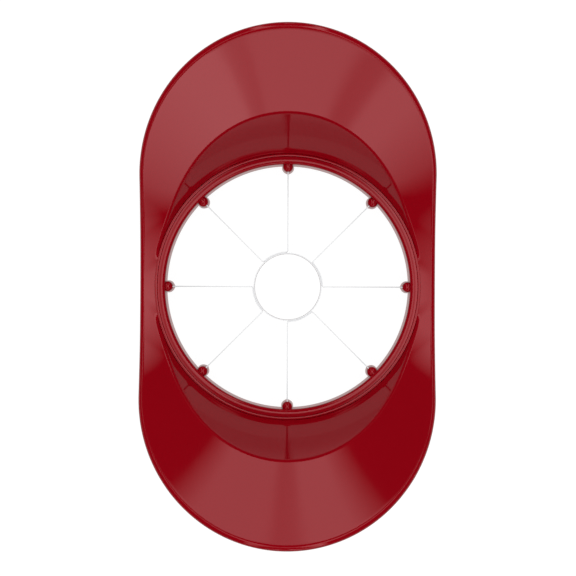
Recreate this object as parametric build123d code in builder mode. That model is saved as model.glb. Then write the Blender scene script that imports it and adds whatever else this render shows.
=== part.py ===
"""Apple wedger: a saddle-shaped handle, a ring pressed into it, four folded blade strips and a core ring.

Millimetres, +Z up, +Y along the length. The origin is the centre of the ring's flat foot.
"""

import os
from math import acos, atan, cos, degrees, hypot, radians, sin, sqrt, tan

from build123d import *

os.makedirs("parts", exist_ok=True)

# Handle body, outside: a slot-shaped outline whose top is a saddle, low at the sides and high at both ends
body_width = 108.0
body_length = 187.4
end_lip_height = 64.3
saddle_floor_drop = 1.5
saddle_flat_reach = 30.4
saddle_round = 7.0
saddle_side_share = 0.5
saddle_steps = 24
saddle_tolerance = 0.002
lip_rounding = 1.4
crest_rounding = 2.4

# Handle body, walls
plate_thickness = 2.4
skirt_depth = 7.0
skirt_thickness = 2.2
skirt_edge_rounding = 0.6

# Collar round the ring, and the thin ridge at its top. Drops are measured down from the rim.
rim_height = 16.0
side_margin = 4.0
collar_thickness = 2.25
ridge_thickness = 0.95
ridge_rounding = 0.25

# Funnel wall: a cone that leads the apple into the ring, and whose foot makes a groove outside the ridge
wall_foot_drop = 0.5
wall_angle = 29.5
wall_thickness = 2.2

# Blade ring, pressed into the collar from below until its foot flange meets the collar's end
ring_thickness = 2.8
ring_proud = 0.2
ring_crown_rounding = 1.2
ring_seam_rounding = 0.3
ring_clearance = 0.08
bore_draft = 0.35
foot_thickness = 1.5
foot_rounding = 0.4
bead_radius = 0.5
bead_height = 7.0

# Bosses that hold the outer ends of the blades
boss_count = 8
boss_radius = 1.7
boss_nose = 0.25
boss_inset = 0.9
boss_drop = 0.6
boss_draft = 0.4
boss_dome_radius = 2.2
boss_dome_depth = 1.25

# Blades: four strips, each folded into two radial blades and an arc against the core ring
strip_count = 4
blade_thickness = 0.4
blade_height = 11.0
blade_cover = 1.0
blade_bevel_height = 1.6
blade_edge_thickness = 0.1
blade_bend_radius = 0.8
blade_seat_depth = 0.3
blade_fit = 0.05

# Core ring
core_radius = 12.5
core_thickness = 0.4
core_fit = 0.05

# How far every cut runs past what it cuts
overrun = 2.0

# Plan sizes, worked out from the body's width inwards
half_width = body_width / 2
half_length = body_length / 2
end_arc_distance = body_length - body_width
collar_outer_radius = half_width - side_margin
collar_inner_radius = collar_outer_radius - collar_thickness
ridge_outer_radius = collar_inner_radius + ridge_thickness
ring_outer_radius = collar_inner_radius - ring_clearance
bore_radius = ring_outer_radius - ring_thickness
boss_centre_radius = bore_radius - boss_inset
boss_foot_radius = boss_radius + boss_draft
boss_nose_reach = boss_foot_radius + boss_nose
boss_pitch = 360 / boss_count
blade_end_radius = boss_centre_radius + blade_seat_depth
strip_arc_radius = core_radius + core_fit + blade_thickness / 2

# Heights, worked out from the rim downwards
saddle_floor_height = rim_height - saddle_floor_drop
wall_foot_height = rim_height - wall_foot_drop
ring_height = rim_height + ring_proud
boss_height = rim_height - boss_drop
blade_top_height = boss_height - blade_cover
blade_bottom_height = blade_top_height - blade_height

down = (0, 0, -1)
up = (0, 0, 1)


def saddle_face(drop):
    """The saddle surface, lowered by drop: an oval cone for the wings that runs out into a flat middle.

    The oval through a point has a half length; away is that less the flat reach. The height is the floor
    + the slope times (away + the root of (away squared + round squared)).
    """

    def climb(x, y):
        away = hypot(saddle_side_share * x, y) - saddle_flat_reach
        return away + hypot(away, saddle_round)

    slope = (end_lip_height - saddle_floor_height) / climb(0, half_length)
    floor = saddle_floor_height - drop
    reach = half_length + overrun
    shares = [step / saddle_steps for step in range(-saddle_steps, saddle_steps + 1)]
    grid = [
        [(x, y, floor + slope * climb(x, y)) for y in (reach * share for share in shares)]
        for x in (reach * share for share in shares)
    ]
    return Face.make_surface_from_array_of_points(grid, tol=saddle_tolerance, min_deg=3)


def wall_radius(height, outset):
    """Radius of the funnel wall's cone at a height, with the cone moved out by outset, square to itself."""
    slant = radians(wall_angle)
    return ridge_outer_radius + (height - wall_foot_height) * tan(slant) + outset / cos(slant)


def wall_height(radius, outset):
    """Height at which the same cone has a radius."""
    slant = radians(wall_angle)
    return wall_foot_height + (radius - ridge_outer_radius - outset / cos(slant)) / tan(slant)


# Everything below the handle body's plate: the hollow inside its skirt, less the funnel and collar in it
with BuildPart() as underside:
    extrude(saddle_face(plate_thickness), amount=end_lip_height, dir=down)
    with BuildSketch(Plane.XY.offset(-end_lip_height)):
        SlotCenterToCenter(end_arc_distance, body_width - 2 * skirt_thickness, rotation=90)
    extrude(amount=3 * end_lip_height, mode=Mode.INTERSECT)
    extrude(saddle_face(skirt_depth), amount=end_lip_height, dir=down)
    with BuildSketch(Plane.XZ):
        with BuildLine():
            Polyline(
                (0, -2 * end_lip_height),
                (collar_outer_radius, -2 * end_lip_height),
                (collar_outer_radius, wall_height(collar_outer_radius, wall_thickness)),
                (wall_radius(2 * end_lip_height, wall_thickness), 2 * end_lip_height),
                (0, 2 * end_lip_height),
                close=True,
            )
        make_face()
    revolve(axis=Axis.Z, mode=Mode.SUBTRACT)

with BuildPart() as handle_body:
    # Outline carried up and trimmed by the saddle, with a rounded lip
    with BuildSketch(Plane.XY.offset(foot_thickness)):
        SlotCenterToCenter(end_arc_distance, body_width, rotation=90)
    extrude(amount=end_lip_height)
    extrude(saddle_face(0), amount=2 * end_lip_height, dir=up, mode=Mode.SUBTRACT)
    saddle_top = handle_body.faces().filter_by(GeomType.PLANE, reverse=True).sort_by(SortBy.AREA)[-1]
    fillet(saddle_top.outer_wire().edges(), lip_rounding)
    # Funnel: the cone meets the saddle along the crest
    with BuildSketch(Plane.XZ):
        with BuildLine():
            Polyline(
                (0, 0),
                (collar_inner_radius, 0),
                (collar_inner_radius, wall_height(collar_inner_radius, 0)),
                (wall_radius(2 * end_lip_height, 0), 2 * end_lip_height),
                (0, 2 * end_lip_height),
                close=True,
            )
        make_face()
    revolve(axis=Axis.Z, mode=Mode.SUBTRACT)
    cone = handle_body.faces().filter_by(GeomType.CONE)[0]
    fillet(cone.edges().sort_by(SortBy.LENGTH)[-1], crest_rounding)
    # Hollow underside
    add(underside.part, mode=Mode.SUBTRACT)
    skirt_end = handle_body.faces().filter_by(GeomType.BSPLINE).sort_by(Axis.Z)[0]
    fillet(skirt_end.edges(), skirt_edge_rounding)
    # Thin ridge that stands up round the ring, and the groove for the ring's bead
    with BuildSketch(Plane.XY.offset(foot_thickness)):
        Circle(ridge_outer_radius)
        Circle(collar_inner_radius, mode=Mode.SUBTRACT)
    extrude(amount=rim_height - foot_thickness)
    fillet(handle_body.edges().filter_by(GeomType.CIRCLE).group_by(Axis.Z)[-1], ridge_rounding)
    with BuildSketch(Plane.XZ):
        with Locations((ring_outer_radius, bead_height)):
            Circle(bead_radius + ring_clearance)
    revolve(axis=Axis.Z, mode=Mode.SUBTRACT)

handle_body.part.label = "handle_body"
export_step(handle_body.part, "parts/handle_body.step")

# One boss: round with a pointed nose towards the centre, drafted, and domed at the top
with BuildPart() as boss:
    nose_turn = acos(boss_foot_radius / boss_nose_reach)
    shoulder = (-boss_foot_radius * cos(nose_turn), boss_foot_radius * sin(nose_turn))
    with BuildSketch():
        Circle(boss_foot_radius)
        Polygon((-boss_nose_reach, 0), (shoulder[0], -shoulder[1]), shoulder, align=None)
    extrude(amount=boss_height, taper=degrees(atan(boss_draft / boss_height)))
    dome_edge = sqrt(boss_dome_radius**2 - (boss_dome_radius - boss_dome_depth) ** 2)
    with BuildSketch(Plane.XZ):
        with BuildLine():
            RadiusArc((0, boss_height), (dome_edge, boss_height - boss_dome_depth), boss_dome_radius)
            Polyline(
                (dome_edge, boss_height - boss_dome_depth),
                (2 * boss_nose_reach, boss_height - boss_dome_depth),
                (2 * boss_nose_reach, 0),
                (0, 0),
                (0, boss_height),
            )
        make_face()
    revolve(axis=Axis.Z, mode=Mode.INTERSECT)

with BuildPart() as blade_ring:
    # Ring with a drafted bore, a flat foot flange and a crowned top
    with BuildSketch(Plane.XZ):
        with BuildLine():
            Polyline(
                (bore_radius - bore_draft, 0),
                (collar_outer_radius, 0),
                (collar_outer_radius, foot_thickness),
                (ring_outer_radius, foot_thickness),
                (ring_outer_radius, ring_height),
                (bore_radius, ring_height),
                close=True,
            )
        make_face()
    revolve(axis=Axis.Z)
    fillet(blade_ring.edges().group_by(Axis.Z)[-1].sort_by(SortBy.RADIUS)[0], ring_crown_rounding)
    fillet(blade_ring.edges().group_by(Axis.Z)[-1].sort_by(SortBy.RADIUS)[-1], ring_seam_rounding)
    fillet(blade_ring.edges().group_by(Axis.Z)[0], foot_rounding)
    # Snap bead
    with BuildSketch(Plane.XZ):
        with Locations((ring_outer_radius, bead_height)):
            Circle(bead_radius)
    revolve(axis=Axis.Z)
    # Bosses
    with PolarLocations(boss_centre_radius, boss_count):
        add(boss.part)
    # Slots that the blades' ends are pushed up into
    with BuildSketch(Plane.XY.offset(-overrun)):
        with PolarLocations(blade_end_radius + blade_fit, boss_count):
            Rectangle(
                boss_nose_reach + blade_seat_depth + overrun,
                blade_thickness + 2 * blade_fit,
                align=(Align.MAX, Align.CENTER),
            )
    extrude(amount=blade_top_height + overrun, mode=Mode.SUBTRACT)

blade_ring.part.label = "blade_ring"
export_step(blade_ring.part, "parts/blade_ring.step")

for number in range(strip_count):
    first_angle = number * 360 / strip_count
    second_angle = first_angle + boss_pitch
    # Middle line of the strip: in along one radius, round the core ring, and out along the next
    with BuildLine() as route:
        first_corner = Vector(strip_arc_radius, 0).rotate(Axis.Z, first_angle)
        second_corner = Vector(strip_arc_radius, 0).rotate(Axis.Z, second_angle)
        Line(Vector(blade_end_radius, 0).rotate(Axis.Z, first_angle), first_corner)
        CenterArc((0, 0), strip_arc_radius, first_angle, boss_pitch)
        Line(second_corner, Vector(blade_end_radius, 0).rotate(Axis.Z, second_angle))
        fillet(route.vertices().sort_by_distance((0, 0))[:2], blade_bend_radius)
    with BuildPart() as blade_strip:
        bevel_start = blade_bottom_height + blade_bevel_height
        with BuildSketch(Plane.XY.offset(bevel_start)):
            trace(route.line, line_width=blade_thickness)
        extrude(amount=blade_top_height - bevel_start)
        # Cutting edge: the lower end thins evenly from both sides
        with BuildSketch(Plane.XY.offset(blade_bottom_height)):
            trace(route.line, line_width=blade_edge_thickness)
        with BuildSketch(Plane.XY.offset(bevel_start)):
            trace(route.line, line_width=blade_thickness)
        loft(ruled=True)
    name = f"blade_strip_{number + 1}"
    blade_strip.part.label = name
    export_step(blade_strip.part, f"parts/{name}.step")

with BuildPart() as core_ring:
    with BuildSketch(Plane.XZ):
        with BuildLine():
            inner = core_radius - core_thickness
            edge = inner + blade_edge_thickness
            Polyline(
                (inner, blade_bottom_height),
                (edge, blade_bottom_height),
                (core_radius, blade_bottom_height + blade_bevel_height),
                (core_radius, blade_top_height),
                (inner, blade_top_height),
                close=True,
            )
        make_face()
    revolve(axis=Axis.Z)

core_ring.part.label = "core_ring"
export_step(core_ring.part, "parts/core_ring.step")
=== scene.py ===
"""Apple wedger: smooth surfaces and finishes for every piece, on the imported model's frame.

Sizes are millimetres, as in the model, and become metres where a mesh is made.
"""
from math import acos, atan2, cos, pi, radians, sin, tan

import bpy
import numpy as np
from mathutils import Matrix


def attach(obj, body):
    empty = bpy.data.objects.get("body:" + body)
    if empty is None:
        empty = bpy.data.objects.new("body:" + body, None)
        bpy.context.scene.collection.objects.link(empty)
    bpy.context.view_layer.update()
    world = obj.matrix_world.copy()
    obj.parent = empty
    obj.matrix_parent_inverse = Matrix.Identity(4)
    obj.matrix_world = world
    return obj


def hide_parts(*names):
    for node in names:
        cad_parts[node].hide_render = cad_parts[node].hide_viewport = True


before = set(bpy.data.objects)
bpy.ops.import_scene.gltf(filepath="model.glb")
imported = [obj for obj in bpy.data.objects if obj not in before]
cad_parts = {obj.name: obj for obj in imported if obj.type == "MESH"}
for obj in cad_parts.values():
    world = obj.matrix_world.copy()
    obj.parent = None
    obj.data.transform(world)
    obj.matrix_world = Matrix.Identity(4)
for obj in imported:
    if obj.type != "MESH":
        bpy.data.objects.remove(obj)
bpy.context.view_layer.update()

MM = 0.001

# Handle body
half_width = 54.0
half_length = 93.7
end_lip_height = 64.3
saddle_floor_height = 14.5
saddle_flat_reach = 30.4
saddle_round = 7.0
saddle_side_share = 0.5
lip_crown = 1.5
lip_edge = 1.38
crest_rounding_low = 2.4
crest_rounding_high = 4.6
crest_rounding_run = 7.0
plate_thickness = 2.4
skirt_depth = 7.0
skirt_thickness = 2.2
skirt_edge_rounding = 0.6
rim_height = 16.0
collar_outer_radius = 50.0
collar_inner_radius = 47.75
ridge_outer_radius = 48.7
ridge_rounding = 0.15
wall_foot_height = 15.5
wall_slant = radians(29.5)
wall_thickness = 2.2
groove_end = 13.5
groove_run_out = 3.0

# Blade ring and its bosses
ring_outer_radius = 47.72
bore_radius = 44.87
bore_draft = 0.35
ring_height = 16.2
ring_crown_rounding = 1.2
ring_seam_rounding = 0.15
foot_thickness = 1.5
foot_rounding = 0.4
boss_count = 8
boss_centre_radius = 43.97
boss_foot_radius = 2.25
boss_nose_reach = 2.55
boss_height = 15.4
boss_draft = 0.45
boss_dome_radius = 2.2
boss_edge = 0.12

# Blades and core ring
strip_count = 4
blade_thickness = 0.4
blade_top_height = 14.4
blade_bottom_height = 3.4
blade_bevel_height = 1.6
blade_edge_thickness = 0.1
blade_bend_radius = 0.8
blade_end_radius = 44.27
blade_corner = 0.01
core_radius = 12.5
core_thickness = 0.4
strip_arc_radius = 12.75

# How finely the surfaces are divided
body_columns = 600
wall_rows = 14
crest_rows = 16
wing_rows = 36
lip_rows = 12
lip_edge_rows = 6
underside_rows = 16
funnel_rows = 6
bend_points = 5
crown_rows = 12
cap_rows = 11
core_columns = 180
leg_steps = 24
fold_steps = 10
fold_arc_steps = 24
halvings = 40
lip_rounds = 6
sharp_angle = radians(40)

# Shares of a section, and small allowances in millimetres
crest_spread_share = 0.65
least_row_share = 0.04
least_meet_share = 0.02
collar_drop = 0.05
boss_rim_share = 0.5
bore_climb = 0.3
bore_climb_depth = 0.4

# Worked out from the sizes above
end_arc_centre = half_length - half_width
end_away = half_length - saddle_flat_reach
saddle_steepness = (end_lip_height - saddle_floor_height) / (end_away + np.hypot(end_away, saddle_round))


def saddle(spot):
    """Height of the wings' top, an oval cone that runs out into a flat middle.

    With away the oval's half length through the point less the flat reach, it is the floor + the steepness
    times (away + the root of (away squared + round squared)).
    """
    away = np.hypot(saddle_side_share * spot[..., 0], spot[..., 1]) - saddle_flat_reach
    return saddle_floor_height + saddle_steepness * (away + np.hypot(away, saddle_round))


def saddle_slope(spot, way):
    """Rise of the saddle for each millimetre along a level unit direction."""
    oval = np.hypot(saddle_side_share * spot[..., 0], spot[..., 1])
    away = oval - saddle_flat_reach
    outward = (saddle_side_share**2 * spot[..., 0] * way[..., 0] + spot[..., 1] * way[..., 1]) / oval
    return saddle_steepness * (1 + away / np.hypot(away, saddle_round)) * outward


def wall(radius, outset=0.0):
    """Height of the funnel wall's cone at a radius, with the cone moved out by outset, square to itself."""
    return wall_foot_height + (radius - ridge_outer_radius - outset / cos(wall_slant)) / tan(wall_slant)


def lower_of(first, second, blend):
    """The lower of two heights, with the crease rounded where they differ by less than blend."""
    near = np.clip(1 - np.abs(first - second) / blend, 0, None)
    return np.minimum(first, second) - blend * near**2 / 4


def outline(count):
    """Points and outward directions round the slot-shaped outline, evenly spaced from the middle of +X.

    A point is a centre that slides between the end arcs' centres, plus the half width along the direction.
    """
    legs = [0, end_arc_centre, pi * half_width, 2 * end_arc_centre, pi * half_width, end_arc_centre]
    knots = np.cumsum(legs)
    along = np.linspace(0, knots[-1], count, endpoint=False)
    slides = end_arc_centre * np.array([0, 1, 1, -1, -1, 0])
    slide = np.interp(along, knots, slides)
    turn = np.interp(along, knots, [0, 0, pi, pi, 2 * pi, 2 * pi])
    outward = np.stack([np.cos(turn), np.sin(turn)], axis=-1)
    spot = half_width * outward
    spot[:, 1] += slide
    return spot, outward


def stand(spot, height):
    """Points in space from plan points and heights of the same shape, or one height for all."""
    height = np.broadcast_to(height, spot.shape[:-1])
    return np.concatenate([spot, height[..., None]], axis=-1)


def crossing(start, end, above):
    """Share of the way from start to end, in each column, where above(points) turns positive, by halving."""
    low = np.zeros(len(start))
    high = np.ones(len(start))
    for _ in range(halvings):
        middle = (low + high) / 2
        over = above(start + (end - start) * middle[:, None]) > 0
        high = np.where(over, middle, high)
        low = np.where(over, low, middle)
    return high


def between(start, end, shares):
    """Rows of plan points from start to end, one for each share, which may differ from column to column."""
    shares = np.atleast_2d(shares)
    return start[:, None] + (end - start)[:, None] * shares[..., None]


def body_surface():
    """The handle body as one closed section carried round the outline, a column for each outline point.

    The section runs up the ridge round the ring, down into the groove outside it, up the funnel wall, over
    the crest to the wing, round the lip, down the skirt, back along the underside and down the collar. The
    top's height is the lower of the saddle and the funnel's cone, so the crest falls where the two cross. At
    the middle of the sides it is the saddle alone, so that the body runs flush up to the ridge there.
    """
    spot, outward = outline(body_columns)
    radial = spot / np.linalg.norm(spot, axis=1, keepdims=True)
    rows = []

    # Ridge: a rounded rectangle turned round the axis
    quarter = np.linspace(0, pi / 2, bend_points)
    top = rim_height - ridge_rounding
    ridge_r = [collar_inner_radius, *(collar_inner_radius + ridge_rounding * (1 - np.cos(quarter)))]
    ridge_z = [foot_thickness, *(top + ridge_rounding * np.sin(quarter))]
    ridge_r += [*(ridge_outer_radius - ridge_rounding * (1 - np.sin(quarter)))]
    ridge_z += [*(top + ridge_rounding * np.cos(quarter))]
    for r, z in zip(ridge_r, ridge_z):
        rows.append(stand(radial * r, z)[:, None])

    # Lip: one arc leaves the saddle and levels out, and another turns down to the skirt's outside. The tilt
    # where the first one starts depends on how far in that is, so the two are found in turn.
    inset = np.full(body_columns, lip_edge)
    for _ in range(lip_rounds):
        touch = spot - outward * inset[:, None]
        lip_tilt = np.arctan(saddle_slope(touch, outward))
        inset = lip_edge + lip_crown * np.sin(lip_tilt)
    lip_height = saddle(touch) + lip_crown * (1 - np.cos(lip_tilt))

    # Top: from the groove over the crest to the lip, with close rows where the crest is rounded
    foot = radial * ridge_outer_radius
    reach = np.linalg.norm(touch - foot, axis=1)
    crest = crossing(foot, touch, lambda s: wall(np.linalg.norm(s, axis=-1)) - saddle(s))
    wing_tilt = np.arctan(saddle_slope(between(foot, touch, crest[:, None])[:, 0], radial))
    climb = np.clip(crest * reach / crest_rounding_run, 0, 1)
    crest_rounding = crest_rounding_low + (crest_rounding_high - crest_rounding_low) * climb
    crest_width = crest_rounding * (cos(wall_slant) - np.sin(wing_tilt))
    crest_blend = crest_width * (1 / tan(wall_slant) - np.tan(wing_tilt)) / 2
    spread = crest_spread_share * crest_width / reach
    before = np.maximum(crest - spread, least_row_share)
    after = np.maximum(crest + spread, before + least_row_share)
    steps = [
        np.linspace(0, before, wall_rows, endpoint=False, axis=1),
        np.linspace(before, after, crest_rows, endpoint=False, axis=1),
        np.linspace(after, 1, wing_rows, endpoint=False, axis=1),
    ]
    top_spot = between(foot, touch, np.concatenate(steps, axis=1))
    top_wall = wall(np.linalg.norm(top_spot, axis=-1))
    top_height = lower_of(saddle(top_spot), top_wall, crest_blend[:, None])
    flush = np.clip((groove_end - np.abs(foot[:, 1])) / groove_run_out, 0, 1)[:, None]
    rows.append(stand(top_spot, top_height + flush * (saddle(top_spot) - top_height)))

    turns = lip_tilt[:, None] * np.linspace(1, 0, lip_rows, endpoint=False)
    insets = lip_edge + lip_crown * np.sin(turns)
    rows.append(stand(
        spot[:, None] - outward[:, None] * insets[..., None],
        lip_height[:, None] - lip_crown * (1 - np.cos(turns)),
    ))
    turns = np.linspace(0, pi / 2, lip_edge_rows)
    insets = lip_edge * (1 - np.sin(turns))
    rows.append(stand(
        spot[:, None] - outward[:, None] * insets[:, None],
        lip_height[:, None] - lip_edge * (1 - np.cos(turns)),
    ))

    # Skirt: down the outside, round its end and up the inside
    skirt_turns = np.linspace(0, pi / 2, bend_points)
    outer_inset = skirt_edge_rounding * (1 - np.cos(skirt_turns))
    inner_inset = skirt_thickness - skirt_edge_rounding * (1 - np.sin(skirt_turns))
    for insets, drops in ((outer_inset, np.sin(skirt_turns)), (inner_inset, np.cos(skirt_turns))):
        end_spot = spot[:, None] - outward[:, None] * insets[:, None]
        rows.append(stand(end_spot, saddle(end_spot) - skirt_depth + skirt_edge_rounding * (1 - drops)))

    # Underside: inwards below the plate, then down outside the funnel and the collar
    inside = spot - outward * skirt_thickness
    collar = radial * collar_outer_radius

    def above_plate(s):
        """How far the funnel's outer cone lies above the plate's underside."""
        return wall(np.linalg.norm(s, axis=-1), wall_thickness) - saddle(s) + plate_thickness

    meet = np.maximum(crossing(collar, inside, above_plate), least_meet_share)
    under_spot = between(collar, inside, 1 - (1 - meet[:, None]) * np.linspace(0, 1, underside_rows))
    under_height = saddle(under_spot) - plate_thickness
    rows.append(stand(under_spot, under_height))
    meet_height = under_height[:, -1]
    collar_top = np.minimum(wall(collar_outer_radius, wall_thickness), meet_height - collar_drop)
    falls = np.linspace(0, 1, funnel_rows)[1:]
    cone_spot = between(collar, under_spot[:, -1], 1 - falls)
    rows.append(stand(cone_spot, meet_height[:, None] * (1 - falls) + collar_top[:, None] * falls))
    for share in (0.5, 1.0):
        rows.append(stand(collar, collar_top * (1 - share) + foot_thickness * share)[:, None])
    return np.concatenate(rows, axis=1)


def ring_surface():
    """The blade ring as one closed section carried round its bore, whose inner wall swells to the bosses.

    Round each boss the inner wall follows a circle with a straight-sided nose towards the centre, and it
    shrinks evenly with height by the draft. Above its rim the boss is a sphere's cap, which runs back to the
    bore. The section goes on up over the rounded rim and down outside to the foot flange.
    """
    pitch = 2 * pi / boss_count
    nose_turn = acos(boss_foot_radius / boss_nose_reach)
    arc_steps, nose_steps, plain_steps = 14, 4, 26

    def inner(height, offset=0.0):
        """Plan of the inner wall in one pitch at a height, drawn back by offset: boss, then plain bore."""
        bore = bore_radius - bore_draft * (1 - height / ring_height) + offset
        round_radius = boss_foot_radius - boss_draft * height / boss_height - offset
        junction = acos(
            (boss_centre_radius**2 + round_radius**2 - bore**2) / (2 * boss_centre_radius * round_radius)
        )
        arc = np.linspace(junction, nose_turn, arc_steps)
        side = np.stack([-np.cos(arc), np.sin(arc)], axis=-1) * round_radius
        tip = np.array([-round_radius / cos(nose_turn), 0.0])
        nose = side[-1] + (tip - side[-1]) * np.linspace(0, 1, nose_steps)[1:, None]
        half = np.concatenate([side, nose]) + (boss_centre_radius, 0.0)
        boss_angle = atan2(half[0, 1], half[0, 0])
        angles = np.linspace(boss_angle, pitch - boss_angle, plain_steps)[1:-1]
        plain = bore * np.stack([np.cos(angles), np.sin(angles)], axis=-1)
        return np.concatenate([half * (1, -1), half[-2::-1], plain]), boss_angle

    def cap(spot):
        """Height of the boss's cap over a plan point."""
        away = np.linalg.norm(spot - (boss_centre_radius, 0.0), axis=-1)
        drop = np.sqrt(np.clip(boss_dome_radius**2 - away**2, 0, None))
        return boss_height - boss_dome_radius + drop

    rows = []
    # Inner wall from the foot's rounded edge up to the rim of the bosses
    quarter = np.linspace(0, pi / 2, bend_points)
    for bend in quarter:
        height = foot_rounding * (1 - cos(bend))
        rows.append(stand(inner(height, foot_rounding * (1 - sin(bend)))[0], height))
    rim_spot, boss_angle = inner(boss_height - boss_rim_share * boss_dome_radius)
    boss_points = 2 * (arc_steps + nose_steps - 1) - 1
    on_boss = np.arange(len(rim_spot)) < boss_points
    rim = np.where(on_boss, cap(rim_spot), cap(rim_spot[:1]))
    for share in (0.25, 0.5, 0.75):
        height = foot_rounding + share * (rim.min() - foot_rounding)
        rows.append(stand(inner(height)[0], height))
    rows.append(stand(rim_spot, rim - boss_edge))

    # Caps, from the rim back to the bore. Between the bosses the same rows climb the plain wall.
    bore_angles = np.arctan2(rim_spot[:, 1], rim_spot[:, 0])
    bore_angles[:boss_points] = np.linspace(-boss_angle, boss_angle, boss_points)
    radial = np.stack([np.cos(bore_angles), np.sin(bore_angles)], axis=-1)
    bore = radial * bore_radius
    depth = np.linalg.norm(bore - rim_spot, axis=1)
    climb = bore_climb * np.clip(1 - depth / bore_climb_depth, 0, 1)
    first = np.clip(boss_edge / np.maximum(depth, boss_edge), 0, 1)
    for share in np.linspace(0, 1, cap_rows):
        way = first + (1 - first) * share
        spot = rim_spot + (bore - rim_spot) * np.where(on_boss, way, share)[:, None]
        rows.append(stand(spot, np.where(on_boss, cap(spot), rim) + climb * share))

    # Rounded rim, top, fine edge at the seam, outside, foot flange and underside
    crown_height = ring_height - ring_crown_rounding
    start = np.arcsin(np.clip((rows[-1][:, 2] - crown_height) / ring_crown_rounding, 0, 1))
    for share in np.linspace(0, 1, crown_rows):
        bend = start + (pi / 2 - start) * share
        radius = bore_radius + ring_crown_rounding * (1 - np.cos(bend))
        rows.append(stand(radial * radius[:, None], crown_height + ring_crown_rounding * np.sin(bend)))
    seam_height = ring_height - ring_seam_rounding
    profile_r = [*(ring_outer_radius - ring_seam_rounding * (1 - np.sin(quarter))), ring_outer_radius]
    profile_z = [*(seam_height + ring_seam_rounding * np.cos(quarter)), foot_thickness]
    profile_r += [*(collar_outer_radius - foot_rounding * (1 - np.cos(quarter)))]
    profile_z += [*(foot_rounding * (1 - np.sin(quarter)))]
    profile_r.insert(-len(quarter), collar_outer_radius)
    profile_z.insert(-len(quarter), foot_thickness)
    for r, z in zip(profile_r, profile_z):
        rows.append(stand(radial * r, z))

    # The pitch, turned round the ring
    piece = np.stack(rows, axis=1)
    turns = pitch * np.arange(boss_count)
    c, s = np.cos(turns), np.sin(turns)
    turn = np.array([[c, s, 0 * c], [-s, c, 0 * c], [0 * c, 0 * c, 1 + 0 * c]])
    return np.einsum("pri,ijn->nprj", piece, turn).reshape(-1, piece.shape[1], 3)


def strip_surface(first_angle):
    """One folded strip: a blade's section carried in along a radius, round the core and out along the next.

    The section is a flat bar with fine corner breaks at the top and an even bevel to the edge below.
    """
    pitch = 2 * pi / boss_count
    bend_centre_radius = strip_arc_radius + blade_bend_radius
    bend_angle = np.arcsin(blade_bend_radius / bend_centre_radius)
    straight_end = bend_centre_radius * cos(bend_angle)
    legs = []
    for sign, base in ((1, 0.0), (-1, pitch)):
        angle = base + sign * bend_angle
        centre = bend_centre_radius * np.array([cos(angle), sin(angle)])
        turns = np.linspace(-sign * pi / 2, sign * (-pi + bend_angle), fold_steps) + base
        bend = centre + blade_bend_radius * np.stack([np.cos(turns), np.sin(turns)], axis=-1)
        leg_r = np.linspace(blade_end_radius, straight_end, leg_steps, endpoint=False)
        leg = leg_r[:, None] * np.array([cos(base), sin(base)])
        legs.append(np.concatenate([leg, bend]))
    arc_angles = np.linspace(bend_angle, pitch - bend_angle, fold_arc_steps)[1:-1]
    arc = strip_arc_radius * np.stack([np.cos(arc_angles), np.sin(arc_angles)], axis=-1)
    route = np.concatenate([legs[0], arc, legs[1][::-1]])
    turn = np.array([[cos(first_angle), sin(first_angle)], [-sin(first_angle), cos(first_angle)]])
    route = route @ turn
    ahead = np.gradient(route, axis=0)
    ahead /= np.linalg.norm(ahead, axis=1, keepdims=True)
    across = np.stack([-ahead[:, 1], ahead[:, 0]], axis=-1)
    half = blade_thickness / 2
    edge = blade_edge_thickness / 2
    bevel = blade_bottom_height + blade_bevel_height
    section_t = np.array([-half, -half, -half + blade_corner, half - blade_corner, half, half, edge, -edge])
    section_z = np.array([
        bevel, blade_top_height - blade_corner, blade_top_height, blade_top_height,
        blade_top_height - blade_corner, bevel, blade_bottom_height, blade_bottom_height,
    ])
    spot = route[:, None] + across[:, None] * section_t[:, None]
    return stand(spot, section_z)


def core_surface():
    """The core ring: a thin section turned round the axis, sharpened from outside at its lower edge."""
    inner = core_radius - core_thickness
    section_r = np.array([
        inner, inner + blade_edge_thickness, core_radius, core_radius, core_radius - blade_corner,
        inner + blade_corner, inner,
    ])
    low, high = blade_bottom_height, blade_top_height
    section_z = np.array([
        low, low, low + blade_bevel_height, high - blade_corner, high, high, high - blade_corner,
    ])
    angles = np.linspace(0, 2 * pi, core_columns, endpoint=False)
    radial = np.stack([np.cos(angles), np.sin(angles)], axis=-1)
    return stand(radial[:, None] * section_r[:, None], section_z)


def make_piece(name, grid, closed, material, node):
    """A mesh that stands for a node, from a grid: columns along a path, rows round a closed section.

    Each face joins two neighbours in a column with two in the next. An open path gets a flat face at both
    ends. The faces are turned so that the enclosed volume is positive, which points them outwards.
    """
    columns, rows = grid.shape[:2]
    number = np.arange(columns * rows).reshape(columns, rows)
    ahead = np.roll(number, -1, axis=0)
    if not closed:
        number, ahead = number[:-1], ahead[:-1]
    faces = np.stack(
        [number, ahead, np.roll(ahead, -1, axis=1), np.roll(number, -1, axis=1)], axis=-1
    ).reshape(-1, 4)
    points = grid.reshape(-1, 3) * MM
    a, b, c, d = (points[faces[:, k]] for k in range(4))
    volume = np.einsum("ij,ij->", a, np.cross(b, c)) + np.einsum("ij,ij->", a, np.cross(c, d))
    faces = faces.tolist()
    if not closed:
        faces.append(list(range(rows))[::-1])
        faces.append(list(range((columns - 1) * rows, columns * rows)))
    if volume < 0:
        faces = [face[::-1] for face in faces]
    mesh = bpy.data.meshes.new(name)
    mesh.from_pydata(points.tolist(), [], faces)
    mesh.shade_smooth()
    mesh.set_sharp_from_angle(angle=sharp_angle)
    mesh.materials.append(material)
    piece = bpy.data.objects.new(name, mesh)
    bpy.context.scene.collection.objects.link(piece)
    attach(piece, "root")
    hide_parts(node)


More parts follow.
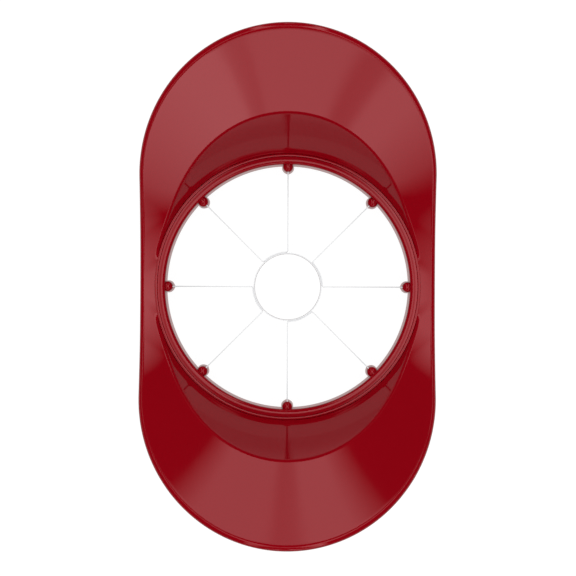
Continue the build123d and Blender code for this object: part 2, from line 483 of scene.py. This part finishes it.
def to_linear(code):
    """An sRGB hex colour as linear red, green, blue and alpha 1."""
    values = np.array([int(code[k:k + 2], 16) for k in (1, 3, 5)]) / 255
    linear = np.where(values <= 0.04045, values / 12.92, ((values + 0.055) / 1.055) ** 2.4)
    return (*linear.tolist(), 1.0)


def add_node(tree, kind, settings=None, **inputs):
    """Add a node. Settings are its properties, and each input is a value or the socket that feeds it."""
    node = tree.nodes.new(kind)
    for key, value in (settings or {}).items():
        setattr(node, key, value)
    for key, value in inputs.items():
        socket = node.inputs[key.replace("_", " ")]
        if isinstance(value, bpy.types.NodeSocket):
            tree.links.new(value, socket)
        else:
            socket.default_value = value
    return node


def new_material(name):
    """An empty node material and its tree."""
    material = bpy.data.materials.new(name)
    material.use_nodes = True
    material.node_tree.nodes.clear()
    return material, material.node_tree


def per_metre(size_mm):
    """Pattern scale for a feature of a real size in millimetres."""
    return 1 / (size_mm * MM)


def moulded_abs():
    """High-gloss moulded ABS, deep red."""
    material, tree = new_material("moulded_gloss_abs_red")
    place = add_node(tree, "ShaderNodeTexCoord").outputs["Object"]
    # Pigment is even, with only a faint drift of tone over some centimetres
    drift = add_node(tree, "ShaderNodeTexNoise", Vector=place, Scale=per_metre(45.0), Detail=1.0)
    tone = add_node(tree, "ShaderNodeValToRGB", Fac=drift.outputs["Fac"])
    tone.color_ramp.elements[0].color = to_linear("#88020F")
    tone.color_ramp.elements[1].color = to_linear("#8E0412")
    # The polished tool leaves a very slight waviness that bends reflections
    wave = add_node(tree, "ShaderNodeTexNoise", Vector=place, Scale=per_metre(9.0), Detail=1.0)
    bump = add_node(tree, "ShaderNodeBump", Strength=0.03, Distance=0.0001, Height=wave.outputs["Fac"])
    # Handling marks: a little less gloss in fine patches
    rub = add_node(tree, "ShaderNodeTexNoise", Vector=place, Scale=per_metre(2.5), Detail=4.0)
    gloss = add_node(tree, "ShaderNodeMapRange", Value=rub.outputs["Fac"], To_Min=0.025, To_Max=0.05)
    # The clear skin over the pigment reddens what it mirrors, but for glancing views
    shader = add_node(
        tree, "ShaderNodeBsdfPrincipled", Base_Color=tone.outputs["Color"],
        Roughness=gloss.outputs["Result"], Normal=bump.outputs["Normal"],
        IOR=1.53, Specular_IOR_Level=1.0, Specular_Tint=to_linear("#FFBCBF"),
    )
    add_node(tree, "ShaderNodeOutputMaterial", Surface=shader.outputs["BSDF"])
    return material


def rolled_stainless():
    """Bright rolled stainless strip: fine rolling lines along its length, which is level on every piece."""
    material, tree = new_material("rolled_stainless_strip")
    place = add_node(tree, "ShaderNodeTexCoord").outputs["Object"]
    lines_place = add_node(
        tree, "ShaderNodeMapping", Vector=place, Scale=(per_metre(12.0), per_metre(12.0), per_metre(0.12))
    )
    lines = add_node(
        tree, "ShaderNodeTexNoise", Vector=lines_place.outputs["Vector"], Scale=1.0, Detail=3.0
    )
    tone = add_node(tree, "ShaderNodeValToRGB", Fac=lines.outputs["Fac"])
    tone.color_ramp.elements[0].color = to_linear("#DADBDD")
    tone.color_ramp.elements[1].color = to_linear("#F0F0F1")
    grain = add_node(tree, "ShaderNodeMapRange", Value=lines.outputs["Fac"], To_Min=0.06, To_Max=0.13)
    bump = add_node(tree, "ShaderNodeBump", Strength=0.15, Distance=0.00002, Height=lines.outputs["Fac"])
    shader = add_node(
        tree, "ShaderNodeBsdfPrincipled", Base_Color=tone.outputs["Color"], Metallic=1.0,
        Roughness=grain.outputs["Result"], Normal=bump.outputs["Normal"],
    )
    add_node(tree, "ShaderNodeOutputMaterial", Surface=shader.outputs["BSDF"])
    return material


def white_table():
    """Matt pale table that keeps the shadow, lifted to white for the eye.

    What the plastic mirrors of it is dimmer, with a painted pink tint standing in for red light bounced off
    the plastic, and a painted pool of brighter light near the ring.
    """
    material, tree = new_material("white_table")
    path = add_node(tree, "ShaderNodeLightPath")
    place = add_node(tree, "ShaderNodeTexCoord").outputs["Object"]
    reach = add_node(tree, "ShaderNodeVectorMath", {"operation": "LENGTH"}, Vector=place)
    # Painted light: the glow that the plastic mirrors of the table rises from the even level to a painted
    # pool of light near the ring
    glint = add_node(
        tree, "ShaderNodeMapRange", Value=reach.outputs["Value"],
        From_Min=glint_inner * MM, From_Max=glint_outer * MM, To_Min=table_glint, To_Max=painted_ring_glow,
    )
    seen = add_node(tree, "ShaderNodeMath", {"operation": "MAXIMUM"})
    tree.links.new(path.outputs["Is Camera Ray"], seen.inputs[0])
    tree.links.new(path.outputs["Is Transmission Ray"], seen.inputs[1])
    total = add_node(tree, "ShaderNodeBsdfDiffuse", Color=to_linear("#606060"))
    for ray, colour, level in (
        (seen.outputs[0], "#FFFFFF", table_lift),
        # The pink here is a painted tint, standing in for red light bounced off the plastic onto the table
        (path.outputs["Is Glossy Ray"], "#FFE2E0", glint.outputs["Result"]),
    ):
        share = add_node(tree, "ShaderNodeMath", {"operation": "MULTIPLY"}, Value=level)
        tree.links.new(ray, share.inputs[1])
        glow = add_node(tree, "ShaderNodeEmission", Color=to_linear(colour), Strength=share.outputs[0])
        both = add_node(tree, "ShaderNodeAddShader")
        tree.links.new(total.outputs[0], both.inputs[0])
        tree.links.new(glow.outputs[0], both.inputs[1])
        total = both
    add_node(tree, "ShaderNodeOutputMaterial", Surface=total.outputs[0])
    return material


def make_floor():
    """A wide level table, a hair below the foot of the ring so that the two don't share a plane."""
    corners = table_reach * np.array([(-1, -1), (1, -1), (1, 1), (-1, 1)])
    mesh = bpy.data.meshes.new("table")
    mesh.from_pydata(stand(corners, -table_gap * MM).tolist(), [], [(0, 1, 2, 3)])
    mesh.materials.append(white_table())
    floor = bpy.data.objects.new("table", mesh)
    bpy.context.scene.collection.objects.link(floor)


def softbox(name, azimuth, elevation, radiance, edges, fades, use, lean_in=0.0, taper_in=0.0, raised=0.0):
    """A rectangular soft light, one metre off at an azimuth from +X and an elevation, aimed at the object.

    Edges are left, right, low and high in metres from the aimed line, as the object sees them. From each
    the light rises evenly to its full radiance over that side's fade. The left and right edges may lean in
    evenly, by lean_in over the lowest lean_height and by taper_in over the highest taper_height. The low
    edge may be raised at the middle, evenly from raised_reach away. Its use is soft light or to be mirrored.
    """
    left, right, low, high = edges
    light = bpy.data.lights.new(name, "AREA")
    light.shape = "RECTANGLE"
    light.size = right - left
    light.size_y = high - low
    light.energy = radiance * pi * light.size * light.size_y
    light.use_nodes = True
    tree = light.node_tree
    tree.nodes.clear()
    place = add_node(tree, "ShaderNodeNewGeometry").outputs["Parametric"]
    parts = add_node(tree, "ShaderNodeSeparateXYZ", Vector=place)
    lean = add_node(
        tree, "ShaderNodeMapRange", Value=parts.outputs[1], From_Max=lean_height / light.size_y,
        To_Max=lean_in / light.size,
    )
    taper = add_node(
        tree, "ShaderNodeMapRange", Value=parts.outputs[1], From_Min=1 - taper_height / light.size_y,
        To_Max=taper_in / light.size,
    )
    inward = add_node(tree, "ShaderNodeMath", {"operation": "ADD"}, Value=lean.outputs["Result"])
    tree.links.new(taper.outputs["Result"], inward.inputs[1])
    centred = add_node(tree, "ShaderNodeMath", {"operation": "SUBTRACT"}, Value=parts.outputs[0])
    centred.inputs[1].default_value = 0.5
    away = add_node(tree, "ShaderNodeMath", {"operation": "ABSOLUTE"}, Value=centred.outputs[0])
    raise_low = add_node(
        tree, "ShaderNodeMapRange", Value=away.outputs[0], From_Max=raised_reach / light.size,
        To_Min=raised / light.size_y, To_Max=0.0,
    )
    moves = (inward, inward, raise_low, None)
    strength = 1.0
    for side, fade in enumerate(fades):
        size = (light.size, light.size_y)[side // 2]
        start, end = ((0, fade / size), (1, 1 - fade / size))[side % 2]
        spot = parts.outputs[side // 2]
        if moves[side]:
            moved = add_node(tree, "ShaderNodeMath", {"operation": ("SUBTRACT", "ADD")[side % 2]})
            tree.links.new(spot, moved.inputs[0])
            tree.links.new(moves[side].outputs[0], moved.inputs[1])
            spot = moved.outputs[0]
        rise = add_node(tree, "ShaderNodeMapRange", Value=spot, From_Min=start, From_Max=end)
        both = add_node(tree, "ShaderNodeMath", {"operation": "MULTIPLY"}, Value=strength)
        tree.links.new(rise.outputs["Result"], both.inputs[1])
        strength = both.outputs[0]
    glow = add_node(tree, "ShaderNodeEmission", Strength=strength)
    add_node(tree, "ShaderNodeOutputLight", Surface=glow.outputs["Emission"])
    lamp = bpy.data.objects.new(name, light)
    lift, turn = radians(elevation), radians(azimuth)
    aside, up = (left + right) / 2, (low + high) / 2
    # Each light stands a little behind the last, so that two that overlap both show
    distance = 1 + lamp_step * len(bpy.data.lights)
    ahead = distance * cos(lift) - up * sin(lift)
    lamp.location = (
        ahead * cos(turn) - aside * sin(turn),
        ahead * sin(turn) + aside * cos(turn),
        distance * sin(lift) + up * cos(lift) + aim_height,
    )
    lamp.rotation_euler = (pi / 2 - lift, 0, turn + pi / 2)
    lamp.visible_glossy = use != "soft"
    lamp.visible_diffuse = use != "mirrored"
    bpy.context.scene.collection.objects.link(lamp)


def make_world():
    """An even pale room: full strength for soft light and the eye, dim in reflections, which lamps give."""
    world = bpy.data.worlds.new("room")
    bpy.context.scene.world = world
    world.use_nodes = True
    tree = world.node_tree
    tree.nodes.clear()
    path = add_node(tree, "ShaderNodeLightPath")
    fade = add_node(
        tree, "ShaderNodeMapRange", Value=path.outputs["Is Glossy Ray"],
        To_Min=room_light, To_Max=room_glint,
    )
    sky = add_node(tree, "ShaderNodeBackground", Strength=fade.outputs["Result"])
    sky.inputs["Color"].default_value = to_linear("#FFFFFF")
    add_node(tree, "ShaderNodeOutputWorld", Surface=sky.outputs["Background"])


def make_camera():
    """The camera straight above, a little turned, at the distance that the ends' larger look gives."""
    camera = bpy.data.cameras.new("camera")
    camera.sensor_width = sensor_width
    camera.lens = sensor_width * camera_distance / (photo_pixels * pixel_size)
    camera.clip_end = camera_far
    eye = bpy.data.objects.new("camera", camera)
    eye.location = (camera_x * MM, camera_y * MM, (camera_distance + camera_level) * MM)
    eye.rotation_euler = (0, 0, camera_roll)
    bpy.context.scene.collection.objects.link(eye)
    bpy.context.scene.camera = eye


# Camera, from the photograph's frame. Lengths are millimetres, but for the far limit in metres.
photo_pixels = 576
pixel_size = 0.367
sensor_width = 36.0
camera_distance = 1330.0
camera_level = 13.3
camera_roll = radians(0.23)
camera_x = 0.15
camera_y = -0.45
camera_far = 100.0

# Table and room. The gap and the glint's two radii are millimetres, the reach is metres.
table_reach = 6.0
table_gap = 0.02
table_lift = 0.95
table_glint = 0.22
# Painted pool of light near the ring, in what the plastic mirrors of the table
painted_ring_glow = 0.50
glint_inner = 25.0
glint_outer = 42.0
room_light = 0.93
room_glint = 0.01

# Lamps, in metres
aim_height = 0.03
lamp_step = 0.008
lean_height = 0.95
taper_height = 1.85
raised_reach = 1.5
side_shape = {"lean_in": 1.235, "taper_in": 0.90, "raised": 1.05}

red = moulded_abs()
steel = rolled_stainless()
make_piece("body_shell", body_surface(), True, red, "handle_body")
make_piece("ring_shell", ring_surface(), True, red, "blade_ring")
for number in range(strip_count):
    strip = strip_surface(2 * pi * number / strip_count)
    make_piece(f"strip_{number + 1}", strip, False, steel, f"blade_strip_{number + 1}")
make_piece("corer", core_surface(), True, steel, "core_ring")

make_floor()
make_world()
make_camera()

# Low lamps in front and behind, which the wings mirror as bands
softbox("front_left", -90, 15, 1.20, (-0.28, -0.0425, 0.02, 0.28), (0.18, 0.025, 0.03, 0.10), "mirrored")
softbox(
    "front_middle", -90, 15, 1.08, (-0.0575, 0.0325, 0.02, 0.16), (0.025, 0.014, 0.03, 0.04), "mirrored"
)
softbox("front_right", -90, 15, 1.48, (0.0225, 0.45, 0.02, 0.50), (0.016, 0.38, 0.03, 0.26), "mirrored")
softbox("back_right", 90, 15, 0.95, (-0.085, 0.005, 0.02, 0.20), (0.030, 0.015, 0.03, 0.05), "mirrored")
softbox("back_left", 90, 15, 1.05, (-0.005, 0.065, 0.02, 0.20), (0.015, 0.030, 0.03, 0.05), "mirrored")

# Tall lamps at the sides, which the sides and the corners mirror, and a small one overhead for level faces
softbox(
    "right_box", 0, 15, 1.33, (-2.78, 2.84, 0.55, 3.20), (1.00, 0.75, 0.25, 0.80), "mirrored", **side_shape
)
softbox(
    "left_box", 180, 15, 1.10, (-2.89, 2.67, 0.55, 3.20), (0.60, 1.35, 0.25, 0.80), "mirrored", **side_shape
)
softbox("top_box", 0, 90, 1.15, (-0.12, 0.12, -0.135, 0.135), (0.06, 0.06, 0.095, 0.095), "mirrored")

# Soft light from above
softbox("top_fill", 0, 90, 0.80, (-0.60, 0.60, -0.60, 0.60), (0.10, 0.10, 0.10, 0.10), "soft")

bpy.context.scene.view_settings.view_transform = "Standard"
